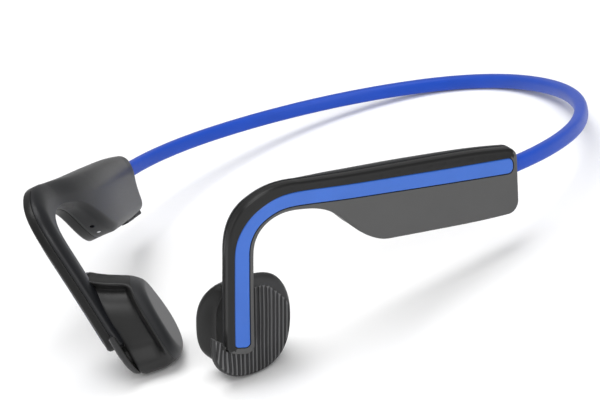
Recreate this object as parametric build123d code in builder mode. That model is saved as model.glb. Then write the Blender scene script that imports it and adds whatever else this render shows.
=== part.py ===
from build123d import *
import math
import os

os.makedirs("parts", exist_ok=True)

# ---------------------------------------------------------------- dimensions (mm)
REST_TILT = 12.335         # band plane slopes down to the rear when the part lies on a table
REST_Y = -1.9             # shift that centres the bounding box on the origin
REST_Z = 20.74            # lifts the lowest points to the table

# outer face of an arm, X as a function of Y and Z, wearer's left side
FACE_A2, FACE_A1, FACE_A0 = -0.001466, 0.3857, 61.80
LEAN_0, LEAN_1 = 0.081, 0.00587

SHELL_MID = 2.6           # outer shell depth from the outer face
SEAL = 0.3                # gasket between the two shells
WALL = 1.1                # shell wall
HOOK_T = 5.0              # hook bar thickness
OUT_FILLET = 0.8          # rounding of the outer face
IN_FILLET = 1.5           # rounding of the inner face
STRIPE_W = 3.7            # trim stripe width
STRIPE_D = 0.8            # groove depth for the stripe
STRIPE_GAP = 0.14         # clearance around the stripe
STRIPE_R = 1.4             # corner radius of the stripe's rear end

BAND_D = 3.6              # sleeve diameter
WIRE_D = 1.5              # spring wire diameter
HINGE_GAP = 0.9           # space between the sleeve segments at a shoulder

DISC_RX, DISC_RY = 9.5, 13.3
RIB_PITCH = 1.15
RIB_Z = -2.2              # ribbed face below the hook's outer face
PLATE_T = 1.2             # ribbed plate thickness
PRESS = 0.4               # travel of every button
FLOOR_Z = RIB_Z - PLATE_T - PRESS - 0.3
HOUSING_Z = -12.6         # housing ends, cheek pad begins
CHEEK_Z = -15.0           # face of the cheek pad

# ---------------------------------------------------------------- frames
_t = math.radians(REST_TILT)
BAND = Plane(origin=(0, REST_Y, REST_Z), x_dir=(1, 0, 0),
             z_dir=(0, math.sin(_t), math.cos(_t)))


def W(x, y, z):
    return BAND.from_local_coords(Vector(x, y, z))


def D(x, y, z):
    return W(x, y, z) - W(0, 0, 0)


def PL(o, x, z):
    return Plane(origin=W(*o), x_dir=D(*x), z_dir=D(*z))


# side view plane of the left arm: x rearward, y up, z outward
E1 = (0.406, 0.9139, 0.0)
EN = (0.8742, -0.3883, -0.2914)
E2 = (0.2663, -0.1183, 0.9566)
P0 = (60.3, -4.0, 0.0)
FACE = PL(P0, E1, EN)

# transducer plane: x rearward, y up, z outward; z = 0 on the hook's outer face
TR_N = (0.771, -0.539, -0.333)
TR_R = (0.554, 0.828, -0.057)
TR_U = (0.308, -0.141, 0.941)


def face_x(y, z):
    return FACE_A2 * y * y + FACE_A1 * y + FACE_A0 + (LEAN_0 + LEAN_1 * (-4 - y)) * z


def face_point(p, q, off=0.0):
    s = 0.0
    for _ in range(60):
        x = P0[0] + p * E1[0] + q * E2[0] + s * EN[0]
        y = P0[1] + p * E1[1] + q * E2[1] + s * EN[1]
        z = P0[2] + p * E1[2] + q * E2[2] + s * EN[2]
        s += (face_x(y, z) - x) * 0.6
    return (x - off * EN[0], y - off * EN[1], z - off * EN[2])


DISC_P, DISC_Q = -68.4, -24.3
HOOK_P = -71.9
TR_O = face_point(DISC_P, DISC_Q)
HOOK_X = (HOOK_P - DISC_P) * 1.0


def TR(z=0.0, x=0.0, y=0.0):
    o = tuple(TR_O[i] + z * TR_N[i] + x * TR_R[i] + y * TR_U[i] for i in range(3))
    return PL(o, TR_R, TR_N)


STATIONS = [6, -6, -20, -34, -46, -56, -66, -80]
THICK = [6.6, 7.4, 8.4, 8.8, 7.4, 5.3, HOOK_T, HOOK_T]


def skin(o_out, o_in, z_lo=-44.0, z_hi=18.0):
    """slab between two offsets of the curved outer face"""
    if not isinstance(o_out, (list, tuple)):
        o_out = [o_out] * len(STATIONS)
    if not isinstance(o_in, (list, tuple)):
        o_in = [o_in] * len(STATIONS)

    def pts(offs, z):
        out = []
        for y, o in zip(STATIONS, offs):
            s = 2 * FACE_A2 * y + FACE_A1 - LEAN_1 * z
            m = math.sqrt(1 + s * s)
            lean = LEAN_0 + LEAN_1 * (-4 - y)
            k = math.sqrt(1 + s * s + lean * lean) / m
            out.append((face_x(y, z) - o * k / m, y + o * k * s / m))
        return out

    with BuildPart() as slab:
        for z in (z_lo, z_hi):
            with BuildSketch(PL((0, 0, z), (1, 0, 0), (0, 0, 1))):
                a, b = pts(o_out, z), pts(o_in, z)
                with BuildLine():
                    Spline(*a)
                    Line(a[-1], b[-1])
                    Spline(*b[::-1])
                    Line(b[0], a[0])
                make_face()
        loft(ruled=True)
    return slab.part


def parallel(pts, d):
    """points moved sideways by d from a centre line"""
    out = []
    for i, (x, y) in enumerate(pts):
        x0, y0 = pts[max(i - 1, 0)]
        x1, y1 = pts[min(i + 1, len(pts) - 1)]
        l = math.hypot(x1 - x0, y1 - y0)
        out.append((x - (y1 - y0) / l * d, y + (x1 - x0) / l * d))
    return out


# stripe centre line, from the pod's rear to the lower end of the hook
STRIPE = [(-0.4, -2.2), (-9, -0.87), (-21, 1.0), (-37, 3.5), (-46, 4.9), (-53, 6.1), (-58.5, 6.95),
          (-62.5, 7.0), (-65.8, 6.0), (-68.6, 4.2), (-70.6, 1.7), (-71.7, -1.4), (-71.9, -5),
          (-71.9, -12), (-71.9, -20)]
STRIPE_END = (-71.9, -27.4)


def ribbon_wire(w, start=0, end=STRIPE_END, grow=0.0):
    """outline of a band of constant width along the stripe's centre line; returns its rear and lower corners"""
    pts = list(STRIPE[start:])
    pts[0] = (pts[0][0] + grow, pts[0][1] - 0.155 * grow)
    a, b = parallel(pts, w / 2), parallel(pts, -w / 2)
    a[-1] = (end[0] + w / 2, pts[-1][1])
    b[-1] = (end[0] - w / 2, pts[-1][1])
    ea, eb = (end[0] + w / 2, end[1]), (end[0] - w / 2, end[1])
    Spline(*a)
    Line(a[-1], ea)
    Line(ea, eb)
    Line(eb, b[-1])
    Spline(*b[::-1])
    Line(b[0], a[0])
    return [a[0], b[0]], [ea, eb]


TOP = [(1.4, 1.0), (-8, 3.0), (-20, 5.0), (-34, 7.0), (-46, 8.9), (-57, 11.3)]
FRONT = [(-57, 11.3), (-61, 12.0), (-65, 11.9), (-68.6, 10.8), (-71.7, 8.9), (-73.8, 6.2),
         (-74.9, 3.0), (-75.3, -0.8), (-75.2, -5), (-75.1, -10)]
HOOK_END = -29.3
INNER = [(-68.8, -10), (-68.8, -5), (-68.5, -1.6), (-67.3, 1.1), (-65.2, 3.0), (-62.5, 4.0),
         (-59.5, 4.1), (-56.5, 3.6), (-53.2, 2.7), (-50, 1.1), (-47, -1.5), (-44.5, -4.2),
         (-41.5, -7.0), (-38.6, -8.9), (-35.5, -9.95)]
BOTTOM = [(-35.5, -9.95), (-22, -11.4), (-10, -12.6), (-0.4, -13.3)]


def outline():
    Spline(*TOP)
    Spline(*FRONT, tangents=[(-4, 1), (0, -1)])
    Line(FRONT[-1], (FRONT[-1][0], HOOK_END))
    Line((FRONT[-1][0], HOOK_END), (INNER[0][0], HOOK_END))
    Line((INNER[0][0], HOOK_END), INNER[0])
    Spline(*INNER, tangents=[(0, 1), (1, -0.12)])
    Spline(*BOTTOM)
    Line(BOTTOM[-1], TOP[0])


def near(shape, spots):
    """sketch vertices of a shape that lie on the given side view points"""
    out = []
    for v in shape.vertices():
        l = FACE.to_local_coords(Vector(v.X, v.Y, v.Z))
        if any(math.hypot(l.X - a, l.Y - b) < 0.05 for a, b in spots):
            out.append(v)
    return out


HOOK_CORNERS = [(FRONT[-1][0], HOOK_END), (INNER[0][0], HOOK_END)]


def pod_cavity(m):
    """space inside the pod, m away from its outline"""
    Polyline((-0.2 - m * 0.6, 0.1 - m), (-20, 4.6 - m), (-34, 6.6 - m), (-46.5, 8.2 - m),
             (-50.5, 5.6 - m), (-47.6, 1.1 + m), (-42.4, -4.4 + m), (-37.4, -8.6 + m),
             (-22, -10.9 + m), (-1.4 - m * 0.8, -12.6 + m), close=True)



# ---------------------------------------------------------------- left arm shells
SK_OUT = skin(0.0, SHELL_MID)
SK_IN = skin(SHELL_MID + SEAL, THICK)
SK_SEAL = skin(SHELL_MID, SHELL_MID + SEAL)
SK_CAV = skin(WALL, [max(t - WALL, SHELL_MID + SEAL + 0.4) for t in THICK])
SK_GROOVE = skin(-2.0, STRIPE_D)
SK_STRIPE = skin(0.04, STRIPE_D)
SK_CHAN = skin(1.5, 3.7)
SK_CORE = skin(1.7, 2.4)
SK_WIRE = skin(2.9, 3.3)

# band centre line, four tangent arcs: centre x, centre y, radius, from, to (deg from +Y)
BAND_Z = -2.8


def next_arc(a, radius, deg):
    """arc of another radius, tangent to arc a at the given angle"""
    k = a[2] - radius
    return (a[0] + k * math.sin(math.radians(deg)), a[1] + k * math.cos(math.radians(deg)), radius)


ARC_A = (0.0, 29.9, 46.0)
ARC_B = next_arc(ARC_A, 64.0, 21)
ARC_C = next_arc(ARC_B, 75.0, 45)
ARC_D = next_arc(ARC_C, 57.0, 68)
HINGE_DEG = 33.0
GAP_DEG = math.degrees(HINGE_GAP / 2 / 64.0)
BANDP = PL((0, 0, BAND_Z), (1, 0, 0), (0, 0, 1))
BAND_END = 109.0


def arc(a, d0, d1):
    CenterArc((a[0], a[1]), a[2], 90 - d0, d0 - d1)


OUTWARD = Axis(W(0, 0, 0), D(*EN))

with BuildPart() as band_bore:
    with BuildLine(BANDP) as bore_path:
        arc(ARC_D, 96, BAND_END + 0.4)
    with BuildSketch(bore_path.line ^ 0):
        Circle(BAND_D / 2 + 0.02)
    sweep()

with BuildPart() as stripe_groove:
    with BuildSketch(FACE.offset(-20)) as ribbon:
        with BuildLine():
            _rear, _low = ribbon_wire(STRIPE_W + 2 * STRIPE_GAP,
                                      end=(STRIPE_END[0], STRIPE_END[1] - STRIPE_GAP), grow=STRIPE_GAP)
        make_face()
        fillet(near(ribbon, _rear), radius=STRIPE_R + STRIPE_GAP)
        fillet(near(ribbon, _low), radius=0.6 + STRIPE_GAP)
    extrude(amount=40)
    add(SK_GROOVE, mode=Mode.INTERSECT)

with BuildPart() as hook_channel:
    with BuildSketch(FACE.offset(-20)):
        with BuildLine():
            ribbon_wire(2.4, start=4, end=(-71.9, -24.5))
        make_face()
    extrude(amount=40)
    add(SK_CHAN, mode=Mode.INTERSECT)

with BuildPart() as pod_room:
    with BuildSketch(FACE.offset(-20)):
        with BuildLine():
            pod_cavity(WALL)
        make_face()
    extrude(amount=40)
    add(SK_CAV, mode=Mode.INTERSECT)

with BuildPart() as left_outer_shell:
    with BuildSketch(FACE.offset(-26)) as side:
        with BuildLine():
            outline()
        make_face()
        fillet(near(side, HOOK_CORNERS), radius=1.9)
        fillet(near(side, [TOP[0]]), radius=1.3)
        fillet(near(side, [BOTTOM[-1]]), radius=2.6)
    extrude(amount=52)
    add(SK_OUT, mode=Mode.INTERSECT)
    _top = left_outer_shell.faces().sort_by(SortBy.AREA)[-2:].sort_by(OUTWARD)[-1]
    fillet(_top.edges(), radius=OUT_FILLET)
    add(stripe_groove.part, mode=Mode.SUBTRACT)
    add(pod_room.part, mode=Mode.SUBTRACT)
    add(hook_channel.part, mode=Mode.SUBTRACT)
    add(band_bore.part, mode=Mode.SUBTRACT)

with BuildPart() as left_inner_shell:
    with BuildSketch(FACE.offset(-26)) as side:
        with BuildLine():
            outline()
        make_face()
        fillet(near(side, HOOK_CORNERS), radius=1.9)
        fillet(near(side, [TOP[0]]), radius=1.3)
        fillet(near(side, [BOTTOM[-1]]), radius=2.6)
    extrude(amount=52)
    add(SK_IN, mode=Mode.INTERSECT)
    _bot = left_inner_shell.faces().sort_by(SortBy.AREA)[-2:].sort_by(OUTWARD)[0]
    fillet(_bot.edges(), radius=IN_FILLET)
    add(pod_room.part, mode=Mode.SUBTRACT)
    add(hook_channel.part, mode=Mode.SUBTRACT)
    add(band_bore.part, mode=Mode.SUBTRACT)

with BuildPart() as left_shell_seal:
    with BuildSketch(FACE.offset(-20)):
        with BuildLine():
            pod_cavity(0.45)
        make_face()
        with BuildLine():
            pod_cavity(WALL + 0.02)
        make_face(mode=Mode.SUBTRACT)
    extrude(amount=40)
    add(SK_SEAL, mode=Mode.INTERSECT)
    add(hook_channel.part, mode=Mode.SUBTRACT)
    add(band_bore.part, mode=Mode.SUBTRACT)

with BuildPart() as left_trim_stripe:
    with BuildSketch(FACE.offset(-20)) as ribbon:
        with BuildLine():
            _rear, _low = ribbon_wire(STRIPE_W)
        make_face()
        fillet(near(ribbon, _rear), radius=STRIPE_R)
        fillet(near(ribbon, _low), radius=0.6)
    extrude(amount=40)
    add(SK_STRIPE, mode=Mode.INTERSECT)

# ---------------------------------------------------------------- inside the hook
with BuildPart() as left_hook_spring:
    with BuildSketch(FACE.offset(-20)):
        with BuildLine():
            ribbon_wire(1.6, start=4, end=(-71.9, -24.0))
        make_face()
    extrude(amount=40)
    add(SK_CORE, mode=Mode.INTERSECT)

with BuildPart() as left_signal_wires:
    with BuildSketch(FACE.offset(-20)):
        with BuildLine():
            ribbon_wire(1.2, start=4, end=(-71.9, -24.0))
        make_face()
    extrude(amount=40)
    add(SK_WIRE, mode=Mode.INTERSECT)

# ---------------------------------------------------------------- transducer housing
def disc_line(grow=0.0):
    """oval outline of the transducer, slightly squarer than an ellipse"""
    a, b = DISC_RX + grow, DISC_RY + grow
    pts = []
    for k in range(24):
        t = 2 * math.pi * k / 24
        c, q = math.cos(t), math.sin(t)
        n = 2 / 2.35
        pts.append((a * math.copysign(abs(c) ** n, c), b * math.copysign(abs(q) ** n, q)))
    Spline(*pts, periodic=True)


with BuildPart() as hook_room:
    with BuildSketch(FACE.offset(-20)):
        with Locations((HOOK_P, -14.0)):
            Rectangle(6.5, 31.0)
    extrude(amount=40)
    add(skin(-3.0, HOOK_T + 0.06), mode=Mode.INTERSECT)

with BuildPart() as hook_clearance:
    with BuildSketch(FACE.offset(-20)):
        with Locations((HOOK_P, -14.0)):
            Rectangle(7.0, 31.9)
    extrude(amount=40)
    add(skin(-3.0, HOOK_T + 1.0), mode=Mode.INTERSECT)

with BuildPart() as front_strip:
    with BuildSketch(FACE.offset(-20)):
        with Locations((HOOK_P - 3.2 - 10, -9.9)):
            Rectangle(20, 40)
    extrude(amount=40)

with BuildPart() as front_strip_wide:
    with BuildSketch(FACE.offset(-20)):
        with Locations((HOOK_P - 2.8 - 10, -9.95)):
            Rectangle(20, 40.6)
    extrude(amount=40)

with BuildPart() as recess:
    with BuildSketch(TR(FLOOR_Z)):
        with BuildLine():
            disc_line(-1.2)
        make_face()
    extrude(amount=4)
    add(front_strip.part, mode=Mode.SUBTRACT)

SCOOP_X = -DISC_RX - 0.2
with BuildPart() as scoop:
    with BuildSketch(PL(tuple(TR_O[i] + SCOOP_X * TR_R[i] - 8.9 * TR_N[i] - 0.5 * TR_U[i] for i in range(3)),
                        TR_N, TR_R)):
        RectangleRounded(6.2, 18.5, 2.2)
    extrude(amount=2.9)
    extrude(scoop.faces().sort_by(Axis(W(*TR_O), D(*TR_R)))[0], amount=2.0)
    fillet(scoop.faces().sort_by(Axis(W(*TR_O), D(*TR_R)))[-1].edges(), radius=1.8)

ROOM_X, ROOM_Y = 1.9, -0.6
ROOM_TOP = -6.9
with BuildPart() as left_transducer_housing:
    with BuildSketch(TR(HOUSING_Z)):
        with BuildLine():
            disc_line()
        make_face()
    extrude(amount=RIB_Z - HOUSING_Z)
    fillet(left_transducer_housing.faces().sort_by(Axis(W(*TR_O), D(*TR_N)))[-1].edges(), radius=0.7)
    add(recess.part, mode=Mode.SUBTRACT)
    with BuildSketch(TR(HOUSING_Z - 1)):
        with Locations((ROOM_X, ROOM_Y)):
            Ellipse(6.9, 10.6)
    extrude(amount=ROOM_TOP - HOUSING_Z + 1, mode=Mode.SUBTRACT)
    with BuildSketch(TR(ROOM_TOP - 0.2)):
        with Locations((4.0, 0)):
            Rectangle(3.6, 3.6)
    extrude(amount=8, mode=Mode.SUBTRACT)
    add(hook_room.part, mode=Mode.SUBTRACT)
    add(scoop.part, mode=Mode.SUBTRACT)

with BuildPart() as left_cheek_pad:
    with BuildSketch(TR(CHEEK_Z)):
        with BuildLine():
            disc_line(-0.1)
        make_face()
    extrude(amount=HOUSING_Z - CHEEK_Z)
    fillet(left_cheek_pad.faces().sort_by(Axis(W(*TR_O), D(*TR_N)))[0].edges(), radius=1.9)

with BuildPart() as left_yoke:
    with BuildSketch(TR(-10.3)):
        with Locations((ROOM_X, ROOM_Y)):
            Circle(6.2)
    extrude(amount=10.3 + ROOM_TOP)
    with BuildSketch(TR(-10.4)):
        with Locations((ROOM_X, ROOM_Y)):
            Circle(5.3)
    extrude(amount=10.4 + ROOM_TOP - 1.0, mode=Mode.SUBTRACT)

with BuildPart() as left_magnet:
    with BuildSketch(TR(-9.9)):
        with Locations((ROOM_X, ROOM_Y)):
            Circle(4.1)
    extrude(amount=9.9 + ROOM_TOP - 1.0)

with BuildPart() as left_voice_coil:
    with BuildSketch(TR(-11.2)):
        with Locations((ROOM_X, ROOM_Y)):
            Circle(5.05)
            Circle(4.4, mode=Mode.SUBTRACT)
    extrude(amount=2.2)

with BuildPart() as left_suspension_plate:
    with BuildSketch(TR(-11.6)):
        with Locations((ROOM_X, ROOM_Y)):
            Circle(6.6)
            with PolarLocations(4.9, 4):
                SlotOverall(3.0, 0.7, rotation=90, mode=Mode.SUBTRACT)
    extrude(amount=0.4)

with BuildPart() as left_drive_post:
    with BuildSketch(TR(HOUSING_Z + 0.03)):
        with Locations((ROOM_X, ROOM_Y)):
            Circle(5.6)
    extrude(amount=-11.66 - HOUSING_Z)


def plate(z_bottom, gap):
    """ribbed outer plate, z_bottom is its under side, gap its distance to the recess wall"""
    with BuildPart() as p:
        with BuildSketch(TR(z_bottom)):
            with BuildLine():
                disc_line(-1.2 - gap)
            make_face()
        extrude(amount=RIB_Z - z_bottom)
        with BuildSketch(TR(RIB_Z - 0.4)):
            with Locations([(-7.6 + 1.15 * k, -0.2) for k in range(14)]):
                Rectangle(0.5, 30)
        extrude(amount=2, mode=Mode.SUBTRACT)
    return p.part


with BuildPart() as multifunction_button:
    add(plate(RIB_Z - PLATE_T, 0.3))
    add(hook_clearance.part, mode=Mode.SUBTRACT)
    add(front_strip_wide.part, mode=Mode.SUBTRACT)

with BuildPart() as right_ribbed_cover:
    add(plate(FLOOR_Z, 0.03))
    add(hook_room.part, mode=Mode.SUBTRACT)
    add(front_strip_wide.part, mode=Mode.SUBTRACT)

with BuildPart() as multifunction_switch:
    with BuildSketch(TR(ROOM_TOP + 0.04)):
        with Locations((4.0, 0)):
            Rectangle(3.4, 3.4)
    extrude(amount=FLOOR_Z - 0.04 - ROOM_TOP)
    with BuildSketch(TR(FLOOR_Z)):
        with Locations((4.0, 0)):
            Circle(0.8)
    extrude(amount=0.2)

# ---------------------------------------------------------------- left pod: cell and board
with BuildPart() as battery_cell:
    with BuildSketch(FACE.offset(-20)):
        with BuildLine():
            Polyline((-5.4, -10.0), (-28.8, -8.0), (-28.8, 3.4), (-5.4, -0.4), close=True)
        make_face()
    extrude(amount=40)
    add(skin(1.95, 5.3), mode=Mode.INTERSECT)

with BuildPart() as battery_board:
    with BuildSketch(FACE.offset(-20)):
        with BuildLine():
            Polyline((-30, -8.2), (-36.5, -7.6), (-39.5, -5.2), (-39.5, 4.6), (-30, 3.8), close=True)
        make_face()
    extrude(amount=40)
    add(skin(2.2, 3.0), mode=Mode.INTERSECT)

# ---------------------------------------------------------------- right pod (built as left, then mirrored)
with BuildPart() as circuit_board_l:
    with BuildSketch(FACE.offset(-20)):
        with BuildLine():
            Polyline((-4.5, -7.5), (-23.5, -6.3), (-37.5, -4.6), (-39.5, -3.2), (-39.5, 4.6), (-20, 2.4),
                 (-4.5, -0.2), close=True)
        make_face()
    extrude(amount=40)
    add(skin(2.2, 3.0), mode=Mode.INTERSECT)

with BuildPart() as wireless_module_l:
    with BuildSketch(FACE.offset(-20)):
        with Locations(Location((-15.5, -2.9), 4)):
            Rectangle(9.5, 5.4)
    extrude(amount=40)
    add(skin(3.0, 4.4), mode=Mode.INTERSECT)

# under side of the pod: x rearward, y inward, z down
BOT_A = math.atan2(BOTTOM[-1][1] - BOTTOM[0][1], BOTTOM[-1][0] - BOTTOM[0][0])
BOT_X = tuple(math.cos(BOT_A) * E1[i] + math.sin(BOT_A) * E2[i] for i in range(3))
BOT_N = tuple(math.sin(BOT_A) * E1[i] - math.cos(BOT_A) * E2[i] for i in range(3))


def under(p, depth, drop=0.0):
    """plane on the under side at station p, depth from the outer face, drop below the wall"""
    f = (p - BOTTOM[0][0]) / (BOTTOM[-1][0] - BOTTOM[0][0])
    q = BOTTOM[0][1] + f * (BOTTOM[-1][1] - BOTTOM[0][1]) + 0.05
    o = face_point(p, q, depth)
    return PL(tuple(o[i] + drop * BOT_N[i] for i in range(3)), BOT_X, BOT_N)


BTN_DEPTH = 4.9
BTN_UP_P, BTN_DOWN_P = -5.6, -13.2
BTN_L, BTN_W = 6.4, 2.0
PORT_P, PORT_DEPTH = -26.6, 5.2
FLAP_L, FLAP_W, FLAP_T = 10.6, 3.4, 0.9


def button_cut(p):
    with BuildPart() as c:
        with BuildSketch(under(p, BTN_DEPTH, -3.4)):
            RectangleRounded(BTN_L + 0.4, BTN_W + 0.4, 0.8)
        extrude(amount=7)
    return c.part


def button(p):
    with BuildPart() as c:
        with BuildSketch(under(p, BTN_DEPTH, -1.9)):
            RectangleRounded(BTN_L, BTN_W, 0.7)
        extrude(amount=3.0)
        fillet(c.faces().sort_by(Axis(W(0, 0, 0), D(*BOT_N)))[-1].edges(), radius=0.35)
    return c.part


with BuildPart() as volume_up_l:
    add(button(BTN_UP_P))

with BuildPart() as volume_down_l:
    add(button(BTN_DOWN_P))

with BuildPart() as volume_switches_l:
    for _p in (BTN_UP_P, BTN_DOWN_P):
        with BuildSketch(under(_p, BTN_DEPTH, -4.3)):
            Rectangle(3.0, 1.9)
        extrude(amount=1.5)
        with BuildSketch(under(_p, BTN_DEPTH, -2.85)):
            Circle(0.5)
        extrude(amount=0.45)

with BuildPart() as usb_receptacle_l:
    with BuildSketch(under(PORT_P, PORT_DEPTH, -7.6)):
        RectangleRounded(8.94, 3.16, 1.2)
    extrude(amount=6.5)
    with BuildSketch(under(PORT_P, PORT_DEPTH, -6.9)):
        RectangleRounded(8.34, 2.56, 1.0)
    extrude(amount=8, mode=Mode.SUBTRACT)
    with BuildSketch(under(PORT_P, PORT_DEPTH, -7.0)):
        Rectangle(6.7, 0.7)
    extrude(amount=5.0)

# the board is notched round the receptacle
with BuildPart() as notched_board_l:
    add(circuit_board_l.part)
    with BuildSketch(under(PORT_P, PORT_DEPTH, -7.8)):
        RectangleRounded(9.2, 3.4, 1.3)
    extrude(amount=9.0, mode=Mode.SUBTRACT)

with BuildPart() as port_cut:
    with BuildSketch(under(PORT_P, PORT_DEPTH, -9.0)):
        RectangleRounded(9.0, 3.22, 1.22)
    extrude(amount=12)
    with BuildSketch(under(PORT_P, PORT_DEPTH, -FLAP_T - 0.12)):
        RectangleRounded(FLAP_L + 0.6, FLAP_W + 0.5, 0.35)
    extrude(amount=4)

_u = under(PORT_P, PORT_DEPTH, -FLAP_T / 2)
with BuildPart() as usb_flap_l:
    with BuildSketch(Plane(origin=_u.origin, x_dir=_u.x_dir, z_dir=_u.y_dir)):
        with Locations((FLAP_T / 4, 0)):
            Rectangle(FLAP_L - FLAP_T / 2, FLAP_T)
        with Locations((-FLAP_L / 2 + FLAP_T / 2, 0)):
            Circle(FLAP_T / 2)
    extrude(amount=FLAP_W / 2, both=True)
    fillet(usb_flap_l.edges().filter_by(Axis(_u.origin, _u.z_dir)).sort_by(Axis(_u.origin, _u.x_dir))[-2:], radius=1.0)
    with BuildSketch(under(PORT_P, PORT_DEPTH, -FLAP_T - 0.5)):
        with Locations((1.2, 1.0), (1.2, -1.0)):
            Rectangle(4.6, 0.35)
    extrude(amount=0.55)

# microphone and status light in the front slope of the pod
MIC_N = (0.66, 0.75)
mic_dir = tuple(-(MIC_N[0] * E1[i] + MIC_N[1] * E2[i]) for i in range(3))
mic_u = tuple(MIC_N[1] * E1[i] - MIC_N[0] * E2[i] for i in range(3))


def slope(p, q, depth, drop=0.0):
    o = face_point(p, q, depth)
    return PL(tuple(o[i] + drop * mic_dir[i] for i in range(3)), mic_u, mic_dir)


with BuildPart() as mic_cut:
    with BuildSketch(slope(-42.9, -5.7, 4.6, -3.0)):
        Circle(0.6)
    extrude(amount=5)

with BuildPart() as mic_seat:
    with BuildSketch(slope(-42.9, -5.7, 4.6, -4.4)):
        Circle(1.33)
    extrude(amount=3.05)

with BuildPart() as microphone_l:
    with BuildSketch(slope(-42.9, -5.7, 4.6, -2.6)):
        Circle(1.25)
    extrude(amount=1.2)

with BuildPart() as light_cut:
    with BuildSketch(slope(-39.9, -8.1, 4.6, -3.0)):
        Circle(0.55)
    extrude(amount=5)

with BuildPart() as light_pipe_l:
    with BuildSketch(slope(-39.9, -8.1, 4.6, -2.4)):
        Circle(0.5)
    extrude(amount=2.3)

with BuildPart() as right_outer_shell:
    mirror(left_outer_shell.part, about=Plane.YZ)

with BuildPart() as right_inner_shell_l:
    add(left_inner_shell.part)
    add(button_cut(BTN_UP_P), mode=Mode.SUBTRACT)
    add(button_cut(BTN_DOWN_P), mode=Mode.SUBTRACT)
    add(port_cut.part, mode=Mode.SUBTRACT)
    add(mic_cut.part, mode=Mode.SUBTRACT)
    add(mic_seat.part, mode=Mode.SUBTRACT)
    add(light_cut.part, mode=Mode.SUBTRACT)

# ---------------------------------------------------------------- band
def tube(d, arcs, hole=None):
    with BuildPart() as t:
        with BuildLine(BANDP) as path:
            for a, d0, d1 in arcs:
                arc(a, d0, d1)
        with BuildSketch(path.line ^ 0):
            Circle(d / 2)
            if hole:
                Circle(hole / 2, mode=Mode.SUBTRACT)
        sweep()
    return t.part


SIDE = [(ARC_B, HINGE_DEG + GAP_DEG, 45), (ARC_C, 45, 68), (ARC_D, 68, BAND_END)]
with BuildPart() as left_band_sleeve:
    add(tube(BAND_D, SIDE, WIRE_D))
with BuildPart() as left_band_wire:
    add(tube(WIRE_D, SIDE))

ARC_B2 = (-ARC_B[0], ARC_B[1], ARC_B[2])
REAR = [(ARC_B2, -(HINGE_DEG - GAP_DEG), -21), (ARC_A, -21, 21), (ARC_B, 21, HINGE_DEG - GAP_DEG)]
with BuildPart() as rear_band_sleeve:
    add(tube(BAND_D, REAR, WIRE_D))
with BuildPart() as rear_band_wire:
    add(tube(WIRE_D, REAR))

# ---------------------------------------------------------------- output
OUT = {
    "rear_band_sleeve": rear_band_sleeve.part,
    "rear_band_wire": rear_band_wire.part,
    "multifunction_button": multifunction_button.part,
    "multifunction_switch": multifunction_switch.part,
    "battery_cell": battery_cell.part,
    "battery_board": battery_board.part,
}
BOTH = {
    "band_sleeve": left_band_sleeve.part,
    "band_wire": left_band_wire.part,
    "shell_seal": left_shell_seal.part,
    "trim_stripe": left_trim_stripe.part,
    "hook_spring": left_hook_spring.part,
    "signal_wires": left_signal_wires.part,
    "transducer_housing": left_transducer_housing.part,
    "cheek_pad": left_cheek_pad.part,
    "yoke": left_yoke.part,
    "magnet": left_magnet.part,
    "voice_coil": left_voice_coil.part,
    "suspension_plate": left_suspension_plate.part,
    "drive_post": left_drive_post.part,
    "outer_shell": left_outer_shell.part,
}
for n, p in BOTH.items():
    OUT["left_" + n] = p
    with BuildPart() as m:
        mirror(p, about=Plane.YZ)
    OUT["right_" + n] = m.part
OUT["left_inner_shell"] = left_inner_shell.part
for n, p in {"right_inner_shell": right_inner_shell_l, "right_ribbed_cover": right_ribbed_cover,
             "main_circuit_board": notched_board_l, "wireless_module": wireless_module_l,
             "volume_up_button": volume_up_l, "volume_down_button": volume_down_l,
             "volume_switches": volume_switches_l, "usb_receptacle": usb_receptacle_l,
             "usb_port_cover": usb_flap_l, "microphone": microphone_l,
             "status_light_pipe": light_pipe_l}.items():
    with BuildPart() as m:
        mirror(p.part, about=Plane.YZ)
    OUT[n] = m.part

for n, p in OUT.items():
    p.label = n
    b = p.bounding_box()
    print("%-26s vol %8.1f solids %d valid %s z %.2f..%.2f y %.1f..%.1f x %.1f..%.1f" % (
        n, p.volume, len(p.solids()), p.is_valid, b.min.Z, b.max.Z, b.min.Y, b.max.Y, b.min.X, b.max.X))
    export_step(p, "parts/" + n + ".step")
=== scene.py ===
import bpy
import bmesh
import math
import numpy as np
from mathutils import Matrix, Vector
from mathutils.geometry import delaunay_2d_cdt


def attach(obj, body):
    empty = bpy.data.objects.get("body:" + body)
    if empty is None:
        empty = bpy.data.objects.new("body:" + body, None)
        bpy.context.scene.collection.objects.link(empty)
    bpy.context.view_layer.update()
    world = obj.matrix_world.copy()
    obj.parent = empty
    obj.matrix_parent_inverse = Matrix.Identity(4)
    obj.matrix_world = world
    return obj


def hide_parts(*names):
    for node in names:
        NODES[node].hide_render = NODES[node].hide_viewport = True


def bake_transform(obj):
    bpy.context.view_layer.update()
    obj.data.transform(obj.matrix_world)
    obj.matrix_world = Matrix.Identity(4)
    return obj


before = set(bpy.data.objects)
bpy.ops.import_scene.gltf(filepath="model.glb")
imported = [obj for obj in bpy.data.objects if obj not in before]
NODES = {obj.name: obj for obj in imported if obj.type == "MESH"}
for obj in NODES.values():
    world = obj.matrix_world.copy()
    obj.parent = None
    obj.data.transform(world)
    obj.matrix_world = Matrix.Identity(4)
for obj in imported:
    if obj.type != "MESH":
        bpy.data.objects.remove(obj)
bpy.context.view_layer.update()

# ------------------------------------------------------------------ frames
# band frame (mm): x to the wearer's left, y rearward, band plane horizontal; turned into the row frame at rest
TILT = math.radians(12.335)
REST_Y, REST_Z = -1.9, 20.74
CT, ST = math.cos(TILT), math.sin(TILT)


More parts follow.
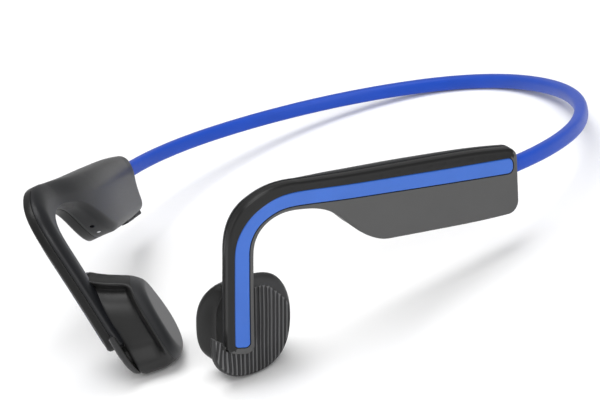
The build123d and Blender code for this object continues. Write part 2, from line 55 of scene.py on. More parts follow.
def turn(v):
    v = np.asarray(v, float)
    return np.stack([v[..., 0], v[..., 1] * CT + v[..., 2] * ST, -v[..., 1] * ST + v[..., 2] * CT], -1)


def place(v, side=1):
    """band frame, mm -> row frame, m"""
    p = turn(v) + np.array([0, REST_Y, REST_Z])
    p = p * np.array([side, 1, 1])
    return p * 0.001


A2, A1, A0, L0, L1 = -0.001466, 0.3857, 61.80, 0.081, 0.00587
P0 = np.array([60.3, -4.0, 0.0])
E1 = np.array([0.406, 0.9139, 0.0])
E2 = np.array([0.2663, -0.1183, 0.9566])
EN = np.array([0.8742, -0.3883, -0.2914])
TR_N = np.array([0.771, -0.539, -0.333])
TR_R = np.array([0.554, 0.828, -0.057])
TR_U = np.array([0.308, -0.141, 0.941])


def face_x(y, z):
    return A2 * y * y + A1 * y + A0 + (L0 + L1 * (-4 - y)) * z


def on_face(pq, off=0.0):
    """points of the curved outer face at side view coordinates (p, q), off = depth under it"""
    pq = np.asarray(pq, float)
    base = P0 + pq[..., :1] * E1 + pq[..., 1:2] * E2
    s = np.zeros(pq.shape[:-1])
    for _ in range(60):
        w = base + s[..., None] * EN
        s += (face_x(w[..., 1], w[..., 2]) - w[..., 0]) * 0.6
    return base + (s - np.asarray(off, float))[..., None] * EN


TR_O = on_face([[-68.4, -24.3]])[0]


def tr(x, y, z):
    """transducer frame: x rearward, y up, z outward"""
    x, y, z = np.broadcast_arrays(np.asarray(x, float), np.asarray(y, float), np.asarray(z, float))
    return TR_O + x[..., None] * TR_R + y[..., None] * TR_U + z[..., None] * TR_N


# ------------------------------------------------------------------ materials
def material(name, base, rough, var=0.06, grain=0.0, grain_scale=4000.0, rough_var=0.05, spec=0.5, coat=0.0,
             coat_rough=0.3, metallic=0.0, sheen=0.0, patch_scale=120.0, extra=None, bump_dist=0.00002):
    """moulded plastic, rubber or metal: soft colour drift, a fine moulded grain in the surface and in its gloss"""
    m = bpy.data.materials.new(name)
    m.use_nodes = True
    nt = m.node_tree
    nt.nodes.clear()
    out = nt.nodes.new("ShaderNodeOutputMaterial")
    bs = nt.nodes.new("ShaderNodeBsdfPrincipled")
    nt.links.new(bs.outputs[0], out.inputs[0])
    tc = nt.nodes.new("ShaderNodeTexCoord")
    big = nt.nodes.new("ShaderNodeTexNoise")
    big.inputs["Scale"].default_value = patch_scale
    big.inputs["Detail"].default_value = 4
    nt.links.new(tc.outputs["Object"], big.inputs["Vector"])
    ramp = nt.nodes.new("ShaderNodeValToRGB")
    b = np.array(base, float)
    ramp.color_ramp.elements[0].position = 0.3
    ramp.color_ramp.elements[1].position = 0.7
    ramp.color_ramp.elements[0].color = (*np.clip(b * (1 - var), 0, 1), 1)
    ramp.color_ramp.elements[1].color = (*np.clip(b * (1 + var), 0, 1), 1)
    nt.links.new(big.outputs["Fac"], ramp.inputs["Fac"])
    fine = nt.nodes.new("ShaderNodeTexNoise")
    fine.inputs["Scale"].default_value = grain_scale
    fine.inputs["Detail"].default_value = 3
    nt.links.new(tc.outputs["Object"], fine.inputs["Vector"])
    colour = ramp.outputs["Color"]
    if extra:
        colour = extra(nt, tc, colour, b)
    nt.links.new(colour, bs.inputs["Base Color"])
    mr = nt.nodes.new("ShaderNodeMapRange")
    mr.inputs["From Min"].default_value = 0.3
    mr.inputs["From Max"].default_value = 0.7
    mr.inputs["To Min"].default_value = rough - rough_var
    mr.inputs["To Max"].default_value = rough + rough_var
    nt.links.new(fine.outputs["Fac"], mr.inputs["Value"])
    nt.links.new(mr.outputs["Result"], bs.inputs["Roughness"])
    if grain:
        bump = nt.nodes.new("ShaderNodeBump")
        bump.inputs["Strength"].default_value = grain
        bump.inputs["Distance"].default_value = bump_dist
        nt.links.new(fine.outputs["Fac"], bump.inputs["Height"])
        nt.links.new(bump.outputs["Normal"], bs.inputs["Normal"])
    bs.inputs["Metallic"].default_value = metallic
    bs.inputs["Specular IOR Level"].default_value = spec
    bs.inputs["Coat Weight"].default_value = coat
    bs.inputs["Coat Roughness"].default_value = coat_rough
    bs.inputs["Sheen Weight"].default_value = sheen
    return m


def rgb(h):
    c = np.array([int(h[i:i + 2], 16) / 255 for i in (0, 2, 4)])
    return tuple(np.where(c <= 0.04045, c / 12.92, ((c + 0.055) / 1.055) ** 2.4))


M = {
    # face and shell are one plastic: the darker shell copy is painted shade on the face's rolled edge and the pod's
    # side walls
    "face": material("satin_shell_face", rgb("4c4c4c"), 0.5, spec=0.3, var=0.03, grain=0.25, grain_scale=5200),
    "shell": material("satin_shell_painted_shade", rgb("141414"), 0.36, spec=0.3, var=0.04, grain=0.22, grain_scale=5200),
    # inner is a darker copy of the face plastic too: painted shade on the pod's top and under walls
    "inner": material("inner_shell", rgb("131417"), 0.40, spec=0.32, var=0.05, grain=0.22, grain_scale=5200),
    "house": material("transducer_plastic", rgb("1c1c1c"), 0.38, spec=0.34, var=0.05, grain=0.25, grain_scale=5200),
    # rib tops: a lighter copy of the ribbed plastic, painted highlight on the ridges
    "ridge_highlight": material("rib_tops_painted_highlight", rgb("606061"), 0.42, spec=0.4, var=0.04, grain=0.25, grain_scale=5200),
    "rib": material("ribbed_plastic", rgb("29292a"), 0.5, spec=0.34, var=0.05, grain=0.3, grain_scale=5200),
    "pad": material("cheek_silicone", rgb("141518"), 0.6, spec=0.3, var=0.05, grain=0.3, grain_scale=3600, sheen=0.15),
    "band": material("band_silicone", rgb("0941ac"), 0.5, spec=0.3, var=0.05, grain=0.22, grain_scale=4200, sheen=0.08),
    "stripe": material("trim_blue", rgb("2d61bb"), 0.34, spec=0.4, var=0.04, grain=0.12, grain_scale=5200, coat=0.15),
    "gasket": material("gasket_rubber", rgb("1a1a1c"), 0.7, var=0.1, grain=0.3),
    "rubber": material("port_cover_rubber", rgb("262628"), 0.66, var=0.08, grain=0.4, grain_scale=3600),
    "metal": material("port_metal", (0.55, 0.55, 0.56), 0.3, metallic=1.0, grain=0.1),
    "steel": material("spring_steel", (0.6, 0.6, 0.62), 0.25, metallic=1.0, grain=0.1),
    "copper": material("copper_wire", (0.75, 0.36, 0.2), 0.3, metallic=1.0, grain=0.1),
    "board": material("circuit_board", (0.01, 0.09, 0.04), 0.4, var=0.25, grain=0.4),
    "foil": material("cell_foil", (0.5, 0.5, 0.52), 0.35, metallic=0.8, grain=0.5, grain_scale=1500),
    "black": material("component_black", (0.02, 0.02, 0.02), 0.45, var=0.2, grain=0.3),
    "light": material("light_pipe", (0.75, 0.76, 0.78), 0.2, var=0.05),
    "post": material("post_plastic", (0.35, 0.35, 0.34), 0.5, var=0.1, grain=0.2),
}

NODE_MATERIAL = {
    "outer_shell": "face", "inner_shell": "inner", "shell_seal": "gasket", "trim_stripe": "stripe",
    "hook_spring": "steel", "band_wire": "steel", "signal_wires": "copper", "transducer_housing": "house",
    "cheek_pad": "pad", "yoke": "steel", "magnet": "steel", "voice_coil": "copper", "suspension_plate": "steel",
    "drive_post": "post", "band_sleeve": "band", "multifunction_button": "rib", "ribbed_cover": "rib",
    "multifunction_switch": "black", "battery_cell": "foil", "battery_board": "board",
    "main_circuit_board": "board", "wireless_module": "metal", "volume_up_button": "rubber",
    "volume_down_button": "rubber", "volume_switches": "black", "usb_receptacle": "metal",
    "usb_port_cover": "rubber", "microphone": "black", "status_light_pipe": "light",
}
for name, ob in NODES.items():
    key = name
    for pre in ("left_", "right_", "rear_"):
        if key.startswith(pre):
            key = key[len(pre):]
    ob.data.materials.clear()
    ob.data.materials.append(M[NODE_MATERIAL[key]])


# ------------------------------------------------------------------ mesh helpers
def make(name, verts, faces, mats, side=1, face_mats=None, smooth=True, band=True, sharp=None):
    """mesh from band frame points (mm); the right side is the mirror image"""
    v = place(np.asarray(verts, float), side) if band else np.asarray(verts, float)
    faces = [list(f) for f in faces]
    if side < 0:
        faces = [f[::-1] for f in faces]
    me = bpy.data.meshes.new(name)
    me.from_pydata([tuple(map(float, p)) for p in v], [], faces)
    for m in mats:
        me.materials.append(M[m])
    if face_mats is not None:
        me.polygons.foreach_set("material_index", np.asarray(face_mats, np.int32))
    me.polygons.foreach_set("use_smooth", [smooth] * len(me.polygons))
    me.validate()
    me.update()
    ob = bpy.data.objects.new(name, me)
    bpy.context.scene.collection.objects.link(ob)
    bm = bmesh.new()
    bm.from_mesh(me)
    bmesh.ops.remove_doubles(bm, verts=bm.verts, dist=1e-7)
    bmesh.ops.recalc_face_normals(bm, faces=bm.faces)
    if sharp is not None:
        for e in bm.edges:
            if len(e.link_faces) == 2 and e.calc_face_angle(0) > sharp:
                e.smooth = False
    bm.to_mesh(me)
    bm.free()
    return ob


def rings(points, closed=True, cap0=False, cap1=False, start=0):
    """faces between successive rings of equal size; points is (rings, n)"""
    k, n = points
    f = []
    for i in range(k - 1):
        for j in range(n if closed else n - 1):
            a, b = start + i * n + j, start + i * n + (j + 1) % n
            f.append((a, b, b + n, a + n))
    if cap0:
        f.append(tuple(start + j for j in range(n))[::-1])
    if cap1:
        f.append(tuple(start + (k - 1) * n + j for j in range(n)))
    return f


def smoothstep(a, b, x):
    t = np.clip((np.asarray(x, float) - a) / (b - a), 0, 1)
    return t * t * (3 - 2 * t)


# ------------------------------------------------------------------ band
BAND_Z = -2.8
ARC_A = (0.0, 29.9, 46.0)


def next_arc(a, radius, deg):
    k = a[2] - radius
    return (a[0] + k * math.sin(math.radians(deg)), a[1] + k * math.cos(math.radians(deg)), radius)


ARC_B = next_arc(ARC_A, 64.0, 21)
ARC_C = next_arc(ARC_B, 75.0, 45)
ARC_D = next_arc(ARC_C, 57.0, 68)
BAND_END = 109.0


def band_point(deg):
    for a, d0, d1 in ((ARC_A, 0, 21), (ARC_B, 21, 45), (ARC_C, 45, 68), (ARC_D, 68, 180)):
        if deg <= d1:
            r = math.radians(deg)
            return np.array([a[0] + a[2] * math.sin(r), a[1] + a[2] * math.cos(r), BAND_Z])


def band_tube(name, half_w, half_h, power, mat, n=40, step=0.75, end_in=0.0):
    angles = np.arange(0, BAND_END + 1e-6 - end_in, step)
    verts = []
    for d in angles:
        c = band_point(d)
        r = math.radians(d)
        out = np.array([math.sin(r), math.cos(r), 0.0])
        for k in range(n):
            t = 2 * math.pi * k / n
            cx, cy = math.cos(t), math.sin(t)
            x = half_w * math.copysign(abs(cx) ** (2 / power), cx)
            y = half_h * math.copysign(abs(cy) ** (2 / power), cy)
            verts.append(c + out * x + np.array([0, 0, 1.0]) * y)
    faces = rings((len(angles), n), cap0=True, cap1=True)
    obs = []
    for side, nm in ((1, "left"), (-1, "right")):
        ob = make(f"{name}_{nm}", verts, faces, [mat], side, sharp=1.2)
        s, e = place(band_point(22.0), side), place(band_point(44.0), side)
        obs.append((ob, nm, s, e))
    return obs


for ob, nm, s, e in band_tube("band_sleeve", 1.66, 1.8, 2.9, "band"):
    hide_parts(f"{nm}_band_sleeve", *(["rear_band_sleeve"] if nm == "left" else []))
    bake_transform(ob)
for ob, nm, s, e in band_tube("band_core_wire", 0.74, 0.74, 2.0, "steel", n=20, step=1.5):
    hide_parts(f"{nm}_band_wire", *(["rear_band_wire"] if nm == "left" else []))
    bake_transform(ob)

# ------------------------------------------------------------------ transducers
def cubic(xs, ys, x, d0=None, d1=None):
    """cubic spline through points, natural ends or given end slopes"""
    xs, ys = np.asarray(xs, float), np.asarray(ys, float)
    n = len(xs)
    h = np.diff(xs)
    A, r = np.zeros((n, n)), np.zeros(n)
    for i in range(1, n - 1):
        A[i, i - 1], A[i, i], A[i, i + 1] = h[i - 1], 2 * (h[i - 1] + h[i]), h[i]
        r[i] = 6 * ((ys[i + 1] - ys[i]) / h[i] - (ys[i] - ys[i - 1]) / h[i - 1])
    if d0 is None:
        A[0, 0] = 1
    else:
        A[0, 0], A[0, 1], r[0] = 2 * h[0], h[0], 6 * ((ys[1] - ys[0]) / h[0] - d0)
    if d1 is None:
        A[-1, -1] = 1
    else:
        A[-1, -1], A[-1, -2], r[-1] = 2 * h[-1], h[-1], 6 * (d1 - (ys[-1] - ys[-2]) / h[-1])
    m = np.linalg.solve(A, r)
    x = np.asarray(x, float)
    i = np.clip(np.searchsorted(xs, x) - 1, 0, n - 2)
    a, b = xs[i + 1] - x, x - xs[i]
    return (m[i] * a ** 3 + m[i + 1] * b ** 3) / (6 * h[i]) + (ys[i] / h[i] - m[i] * h[i] / 6) * a + \
        (ys[i + 1] / h[i] - m[i + 1] * h[i] / 6) * b


RX, RY_, POW = 9.5, 13.3, 2.35
RIB_Z, HOUSING_Z, CHEEK_Z = -2.2, -12.6, -15.0


def disc(n, grow=0.0):
    t = 2 * math.pi * np.arange(n) / n
    c, s = np.cos(t), np.sin(t)
    e = 2 / POW
    return np.stack([(RX + grow) * np.sign(c) * abs(c) ** e, (RY_ + grow) * np.sign(s) * abs(s) ** e], -1), t


def resample(p, n):
    """closed outline with n points at even spacing, starting at its first point"""
    q = np.vstack([p, p[:1]])
    d = np.r_[0, np.cumsum(np.hypot(*np.diff(q, axis=0).T))]
    s = np.linspace(0, d[-1], n + 1)[:-1]
    return np.stack([np.interp(s, d, q[:, i]) for i in (0, 1)], -1)


def shaped(p, z):
    """the transducer body narrows to the cheek side: its top wall slopes down and its rear top corner falls away"""
    z = np.asarray(z, float)
    top = np.interp(z, [-15.0, -13.6, -12.6, -10, -8.0, -6, -4.9, -4.0], [5.7, 6.5, 7.2, 8.9, 10.2, 11.7, 12.7, RY_])
    deep = smoothstep(-4.4, -14.0, z)
    x, y = p[..., 0], p[..., 1]
    k = 1 + (np.interp(np.arctan2(y, x), RIM_T, RIM_K, period=2 * math.pi) - 1) * (1 - 0.6 * deep)
    x, y = x * k, y * k
    low = np.interp(z, [-15.0, -13.0, -9.5, -5.0, -3.2], [-13.9, -14.6, -15.0, -14.1, -RY_])
    y = low + (y + RY_) * (top - low) / (2 * RY_)
    lean = np.interp(z, [-15.0, -13.6, -12.7, -11.6, -9.0, -4.4], [0.48, 0.32, 0.15, 0.08, 0.04, 0.0])
    x = x - lean * np.maximum(x, 0) * smoothstep(-8.5, 6.0, y)
    return np.stack([x, y], -1)


def rim_factor():
    """outline of the outer face as seen, as a factor on the plain oval, by direction"""
    seen = np.array([(2.2, 12.75), (6.46, 10.64), (8.57, 6.7), (9.4, 1.21), (9.0, -4.4), (7.1, -9.3), (3.9, -12.1),
                     (0.08, -13.2), (-3.79, -13.1), (-7.3, -11.2), (-9.0, -8.9), (-9.75, -4.7), (-9.7, 1.58),
                     (-9.2, 6.05), (-7.2, 10.2), (-3.2, 12.4)])
    t = np.unwrap(np.arctan2(seen[::-1, 1], seen[::-1, 0]))
    r = np.hypot(seen[::-1, 0], seen[::-1, 1])
    c, s_ = np.cos(t), np.sin(t)
    oval = (abs(c / RX) ** POW + abs(s_ / RY_) ** POW) ** (-1 / POW)
    f = r / oval
    tt, ff = np.r_[t - 2 * math.pi, t, t + 2 * math.pi], np.r_[f, f, f]
    o = np.argsort(tt)
    th = np.linspace(-math.pi, math.pi, 361)
    return th, cubic(tt[o], ff[o], th)


RIM_T, RIM_K = rim_factor()


def scoop_depth(x, y, z):
    """hollow in the housing's front wall, between the hook and the rim round the cheek pad"""
    front = smoothstep(1.5, -5.5, x)
    up = smoothstep(12.5, 10.4, y)
    low = smoothstep(-12.6, -4.5, y)
    rim = smoothstep(-12.55, -10.4, z)
    return 3.8 * front * up * low * rim


def housing(side, nm):
    n = 220
    base = resample(disc(2000)[0], n)
    d = np.roll(base, -1, 0) - np.roll(base, 1, 0)
    nrm = np.stack([d[:, 1], -d[:, 0]], -1) / np.hypot(*d.T)[:, None]
    top = -4.55 if nm == "left" else -4.1
    # profile: grow and z
    prof = [(-2.2, -3.2), (-1.3, -3.2), (-1.15, -3.35), (-1.15, top), (-0.55, top), (-0.3, top - 0.06), (-0.1, top - 0.2), (0, top - 0.5)]
    prof += [(0, z) for z in np.linspace(top - 0.9, HOUSING_Z, 30)]
    prof += [(-0.9, HOUSING_Z), (-3.0, HOUSING_Z)]
    verts = []
    for g, z in prof:
        p = base + nrm * g
        dep = scoop_depth(p[:, 0], p[:, 1], z)
        # the hollow is pushed rearward, square to the front wall
        push = np.stack([np.full(n, 1.0), np.zeros(n)], -1) * 0.75 - nrm * 0.25
        p = shaped(p + push * np.asarray(dep)[..., None], z)
        verts.append(tr(p[:, 0], p[:, 1], z))
    verts = np.concatenate(verts)
    faces = rings((len(prof), n), cap0=True, cap1=True)
    ob = make(f"{nm}_transducer_shell", verts, faces, ["house"], side, sharp=0.9)
    return ob


def pad(side, nm):
    n = 160
    base = resample(disc(2000)[0], n)
    d = np.roll(base, -1, 0) - np.roll(base, 1, 0)
    nrm = np.stack([d[:, 1], -d[:, 0]], -1) / np.hypot(*d.T)[:, None]
    prof = [(-3.0, HOUSING_Z - 0.03), (-0.6, HOUSING_Z - 0.03), (-0.02, HOUSING_Z - 0.03)]
    r = 2.1
    for a in np.linspace(0, 90, 10)[0:]:
        a = math.radians(a)
        prof.append((-0.02 - r * (1 - math.cos(a)), CHEEK_Z + r + 0.02 - r * math.sin(a)))
    prof += [(-2.8, CHEEK_Z + 0.02)]

    def level(p, z):
        p = shaped(p, z)
        return tr(p[:, 0], p[:, 1], z)

    verts = [level(base + nrm * g, z) for g, z in prof]
    last = base + nrm * (-2.8)
    # gently crowned middle
    for f in (0.85, 0.65, 0.45, 0.25, 0.08):
        verts.append(level(last * f, CHEEK_Z + 0.02))
    verts = np.concatenate(verts)
    faces = rings((len(prof) + 5, n), cap0=True, cap1=True)
    return make(f"{nm}_cheek_skin", verts, faces, ["pad"], side, sharp=1.0)


PITCH = 0.93


def plate(side, nm):
    """ribbed outer plate: ribs run along the hook, fading out in a smooth crown at the top"""
    low = -4.1 if nm == "left" else -4.0
    a, b = RX - 0.12, RY_ - 0.12
    xs = a * np.sin(np.linspace(-math.pi / 2, math.pi / 2, 261)[1:-1])
    # even columns in the middle, closer at the ends
    nv = 76
    vv = np.sin(np.linspace(-math.pi / 2, math.pi / 2, nv))
    X = np.repeat(xs[:, None], nv, 1)
    Yh = b * (1 - abs(xs / a) ** POW) ** (1 / POW)
    Y = Yh[:, None] * vv[None]
    # distance to the outline, by the nearest outline point
    line = resample(disc(2000, -0.12)[0], 900)
    pts = np.stack([X.ravel(), Y.ravel()], -1)
    dist = np.empty(len(pts))
    for i in range(0, len(pts), 4000):
        dist[i:i + 4000] = np.sqrt(((pts[i:i + 4000, None] - line[None]) ** 2).sum(-1)).min(1)
    dist = dist.reshape(X.shape)
    dist[:, 0] = 0
    dist[:, -1] = 0
    r = 1.5
    k = np.clip(r - dist, 0, r)
    Z = RIB_Z - (r - np.sqrt(np.maximum(r * r - k * k, 0)))
    topness = smoothstep(3.0, 9.0, Y)
    fade = smoothstep(0.3 + 1.5 * topness, 0.9 + 2.3 * topness, dist)
    phase = (X - (-7.6)) / PITCH
    wave = 0.5 - 0.5 * np.cos(2 * math.pi * phase)
    # the grooves; the rest of the ribbed field gets the lighter rib tops material, a painted highlight
    dark = fade * (wave > 0.5)
    Z = Z - 0.45 * (wave ** 0.6) * fade
    cols, rows = X.shape
    XY = shaped(np.stack([X, Y], -1), RIB_Z)
    verts = tr(XY[..., 0], XY[..., 1], Z).reshape(-1, 3)
    faces, mi = [], []
    for i in range(cols - 1):
        for j in range(rows - 1):
            q = i * rows + j
            faces.append((q, q + rows, q + rows + 1, q + 1))
            # ridge tops get the lighter material as a painted highlight; grooves and the rolled rim keep the plain
            # ribbed plastic
            mi.append(0 if dark[i:i + 2, j:j + 2].mean() < 0.4 and fade[i, j] > 0.55 else 1)
    # skirt all round
    loop = [i * rows for i in range(cols)] + [(cols - 1) * rows + j for j in range(1, rows)] + \
        [i * rows + rows - 1 for i in range(cols - 2, -1, -1)] + [j for j in range(rows - 2, 0, -1)]
    lp = np.stack([X.reshape(-1)[loop], Y.reshape(-1)[loop]], -1)
    lz = Z.reshape(-1)[loop]
    base = len(verts)
    extra, faces2 = [], []
    m = len(loop)
    lp = shaped(lp, RIB_Z)
    extra.append(tr(lp[:, 0], lp[:, 1], np.full(m, low)))
    sc = 0.9
    extra.append(tr(lp[:, 0] * sc, lp[:, 1] * sc, np.full(m, low)))
    extra.append(tr(lp[:, 0] * sc, lp[:, 1] * sc, np.full(m, -3.15)))
    allv = np.concatenate([verts] + extra)
    for j in range(m):
        j2 = (j + 1) % m
        faces.append((loop[j], base + j, base + j2, loop[j2]))
        faces.append((base + j, base + m + j, base + m + j2, base + j2))
        faces.append((base + m + j, base + 2 * m + j, base + 2 * m + j2, base + m + j2))
    faces.append(tuple(base + 2 * m + j for j in range(m)))
    mi += [2] * (len(faces) - len(mi))
    return make(f"{nm}_ribbed_plate", allv, faces, ["ridge_highlight", "rib", "house"], side, mi, sharp=1.1)


PLATES = {}
for side, nm in ((1, "left"), (-1, "right")):
    h = housing(side, nm)
    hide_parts(f"{nm}_transducer_housing")
    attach(h, f"{nm}_arm")
    c = pad(side, nm)
    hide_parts(f"{nm}_cheek_pad")
    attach(c, f"{nm}_arm")
    PLATES[nm] = plate(side, nm)

# ------------------------------------------------------------------ pods and hooks
STATIONS = np.array([-80, -66, -56, -46, -34, -20, -6, 6.0])
THICK = np.array([5.0, 5.0, 5.3, 7.4, 8.8, 8.4, 7.4, 6.6])
SEAM_OUT, SEAM_IN = 2.6, 2.67
STRIPE_W, STRIPE_D, STRIPE_GAP, STRIPE_R = 3.45, 0.8, 0.14, 1.45


def curve(pts, step=0.25, t0=None, t1=None):
    """smooth line through points"""
    p = np.asarray(pts, float)
    d = np.r_[0, np.cumsum(np.hypot(*np.diff(p, axis=0).T))]
    s = np.linspace(0, d[-1], max(int(d[-1] / step), 4))
    t0 = np.array(t0, float) / np.hypot(*t0) if t0 is not None else (None, None)
    t1 = np.array(t1, float) / np.hypot(*t1) if t1 is not None else (None, None)
    return np.stack([cubic(d, p[:, i], s, t0[i], t1[i]) for i in (0, 1)], -1)


def under_face(pq, off):
    """points at side view coordinates (p, q) on the surface that lies off under the outer face"""
    pq = np.asarray(pq, float)
    base = P0 + pq[..., :1] * E1 + pq[..., 1:2] * E2
    s = np.zeros(pq.shape[:-1]) - (4.0 if callable(off) else np.asarray(off, float))
    for _ in range(60):
        w = base + s[..., None] * EN
        y, z = w[..., 1], w[..., 2]
        o = off(y) if callable(off) else off
        dy = 2 * A2 * y + A1 - L1 * z
        dz = L0 + L1 * (-4 - y)
        s += (face_x(y, z) - o * np.sqrt(1 + dy * dy + dz * dz) - w[..., 0]) * 0.6
    return base + s[..., None] * EN


def rounded(poly, corners):
    """closed outline whose given corner points are rounded by their radii"""
    out = list(map(tuple, poly))
    for c, r in corners:
        p = np.array(out)
        i = int(np.argmin(np.hypot(*(p - np.array(c)).T)))
        p = np.roll(p, -i, 0)
        seg = np.hypot(*(np.roll(p, -1, 0) - p).T)
        fwd = np.cumsum(seg)
        bwd = np.cumsum(seg[::-1])
        d1 = p[np.searchsorted(fwd, 1.2 * r) + 1] - p[0]
        d0 = p[-(np.searchsorted(bwd, 1.2 * r) + 1)] - p[0]
        d1, d0 = d1 / np.hypot(*d1), d0 / np.hypot(*d0)
        ang = math.acos(float(np.clip(d0 @ d1, -1, 1)))
        t = r / math.tan(ang / 2)
        q = np.vstack([p, p[:1]])
        fw = np.r_[0, fwd]
        A = np.array([np.interp(t, fw, q[:, k]) for k in (0, 1)])
        B = np.array([np.interp(fw[-1] - t, fw, q[:, k]) for k in (0, 1)])
        keep = [tuple(x) for x, s in zip(p, fw[:-1]) if t < s < fw[-1] - t]
        bis = (d0 + d1) / np.hypot(*(d0 + d1))
        cen = p[0] + bis * r / math.sin(ang / 2)
        a0, a1 = math.atan2(*(B - cen)[::-1]), math.atan2(*(A - cen)[::-1])
        da = (a1 - a0 + math.pi) % (2 * math.pi) - math.pi
        arc = [tuple(cen + r * np.array([math.cos(a0 + da * f), math.sin(a0 + da * f)])) for f in np.linspace(0, 1, 14)]
        out = keep + arc
    return np.array(out)


TOP = [(0.75, 1.1), (-8, 3.0), (-20, 5.0), (-34, 7.0), (-46, 8.7), (-57, 10.5)]
FRONT = [(-57, 10.5), (-61, 11.1), (-65, 10.9), (-68.3, 9.8), (-71.2, 8.0), (-73.2, 5.4),
         (-74.25, 2.5), (-74.75, -0.8), (-74.8, -5), (-74.8, -10)]
HOOK_END = -28.9
END_DROP = 0.22
INNER = [(-68.8, -10), (-68.8, -5), (-68.5, -1.6), (-67.3, 1.1), (-65.2, 3.0), (-62.5, 4.0),
         (-59.5, 4.1), (-56.5, 3.6), (-53.2, 2.7), (-50, 1.1), (-47, -1.5), (-44.5, -4.2),
         (-41.5, -7.0), (-38.6, -8.9), (-35.5, -9.95)]
BOTTOM = [(-35.5, -9.95), (-22, -11.4), (-10, -12.6), (-1.0, -13.25)]
STRIPE = [(-1.1, -2.1), (-9, -0.87), (-21, 1.0), (-37, 3.5), (-46, 4.9), (-53, 6.1), (-58.5, 6.95),
          (-62.5, 7.0), (-65.8, 6.0), (-68.6, 4.2), (-70.5, 1.7), (-71.55, -1.4), (-71.75, -5),
          (-71.75, -12), (-71.75, -20)]
STRIPE_END = (-71.75, -27.7)


def line(a, b, step=0.3):
    a, b = np.array(a, float), np.array(b, float)
    n = max(int(np.hypot(*(b - a)) / step), 2)
    return a + (b - a) * np.linspace(0, 1, n)[:, None]


def joined(*parts):
    return np.concatenate([p[:-1] for p in parts])


HOOK_REAR = (INNER[0][0], HOOK_END - END_DROP * 6.4)


def pod_outline():
    p = joined(curve(TOP), curve(FRONT, t0=(-4, 1), t1=(0, -1)), line(FRONT[-1], (FRONT[-1][0], HOOK_END)),
               line((FRONT[-1][0], HOOK_END), HOOK_REAR), line(HOOK_REAR, INNER[0]),
               curve(INNER, t0=(0, 1), t1=(1, -0.12)), curve(BOTTOM), line(BOTTOM[-1], TOP[0]))
    return rounded(p, [((FRONT[-1][0], HOOK_END), 1.9), (HOOK_REAR, 1.9), (TOP[0], 2.0), (BOTTOM[-1], 3.1)])


def ribbon(w, grow=0.0):
    pts = [list(x) for x in STRIPE]
    pts[0] = [pts[0][0] + grow, pts[0][1] - 0.155 * grow]
    a, b = [], []
    for i, (x, y) in enumerate(pts):
        x0, y0 = pts[max(i - 1, 0)]
        x1, y1 = pts[min(i + 1, len(pts) - 1)]
        l = math.hypot(x1 - x0, y1 - y0)
        nx, ny = -(y1 - y0) / l, (x1 - x0) / l
        a.append((x + nx * w / 2, y + ny * w / 2))
        b.append((x - nx * w / 2, y - ny * w / 2))
    ex, ey = STRIPE_END[0], STRIPE_END[1] - grow
    a[-1], b[-1] = (ex + w / 2, pts[-1][1]), (ex - w / 2, pts[-1][1])
    ea, eb = (ex + w / 2, ey - END_DROP * w / 2), (ex - w / 2, ey + END_DROP * w / 2)
    p = joined(curve(a), line(a[-1], ea), line(ea, eb), line(eb, b[-1]), curve(b)[::-1], line(b[0], a[0]))
    return rounded(p, [(a[0], STRIPE_R + grow), (b[0], STRIPE_R + grow), (ea, 1.0 + grow), (eb, 1.0 + grow)])


def area_of(p):
    return 0.5 * float(np.sum(p[:, 0] * np.roll(p[:, 1], -1) - np.roll(p[:, 0], -1) * p[:, 1]))


def even(p, n):
    p = resample(p, n)
    return p if area_of(p) > 0 else p[::-1].copy()


def outward(p):
    d = np.roll(p, -1, 0) - np.roll(p, 1, 0)
    return np.stack([d[:, 1], -d[:, 0]], -1) / np.hypot(*d.T)[:, None]


def inside(pts, poly):
    x, y = pts[:, 0], pts[:, 1]
    hit = np.zeros(len(pts), bool)
    for (x0, y0), (x1, y1) in zip(poly, np.roll(poly, -1, 0)):
        c = (y0 > y) != (y1 > y)
        hit ^= c & (x < (x1 - x0) * (y - y0) / (y1 - y0 + 1e-30) + x0)
    return hit


def fill(outer, hole=None, step=0.9):
    """points and triangles of a flat region; the outline's points come first, in order"""
    loops = [outer] + ([hole] if hole is not None else [])
    allp = np.concatenate(loops)
    lo, hi = outer.min(0), outer.max(0)
    gx, gy = np.meshgrid(np.arange(lo[0], hi[0], step), np.arange(lo[1], hi[1], step * 0.866), indexing="ij")
    gx = gx + (np.arange(gx.shape[1]) % 2)[None] * step / 2
    g = np.stack([gx.ravel(), gy.ravel()], -1)
    g = g[inside(g, outer)]
    if hole is not None:
        g = g[~inside(g, hole)]
    near = np.concatenate([np.sqrt(((g[i:i + 2000, None] - allp[None]) ** 2).sum(-1)).min(1) for i in range(0, len(g), 2000)])
    g = g[near > step * 0.45]
    pts = np.concatenate([allp, g])
    edges, o = [], 0
    for l in loops:
        edges += [(o + i, o + (i + 1) % len(l)) for i in range(len(l))]
        o += len(l)
    r = delaunay_2d_cdt([Vector(p) for p in pts], edges, [], 0, 1e-6)
    vs, tris, orig = np.array([tuple(v) for v in r[0]]), r[2], r[3]
    # back to the order of the points that went in
    back = [o[0] if o else None for o in orig]
    assert None not in back and len(vs) == len(pts)
    t = np.array([[back[i] for i in f] for f in tris if len(f) == 3])
    c = pts[t].mean(1)
    keep = inside(c, outer)
    if hole is not None:
        keep &= ~inside(c, hole)
    t = t[keep]
    u = pts[t]
    cr = (u[:, 1, 0] - u[:, 0, 0]) * (u[:, 2, 1] - u[:, 0, 1]) - (u[:, 1, 1] - u[:, 0, 1]) * (u[:, 2, 0] - u[:, 0, 0])
    t[cr < 0] = t[cr < 0][:, ::-1]
    return pts, t


def thick(y):
    return cubic(STATIONS, THICK, np.clip(y, -80, 6))


OUTLINE = even(pod_outline(), 760)
OUT_N = outward(OUTLINE)
GROOVE = even(ribbon(STRIPE_W + 2 * STRIPE_GAP, STRIPE_GAP), 620)
TRIM = even(ribbon(STRIPE_W), 620)
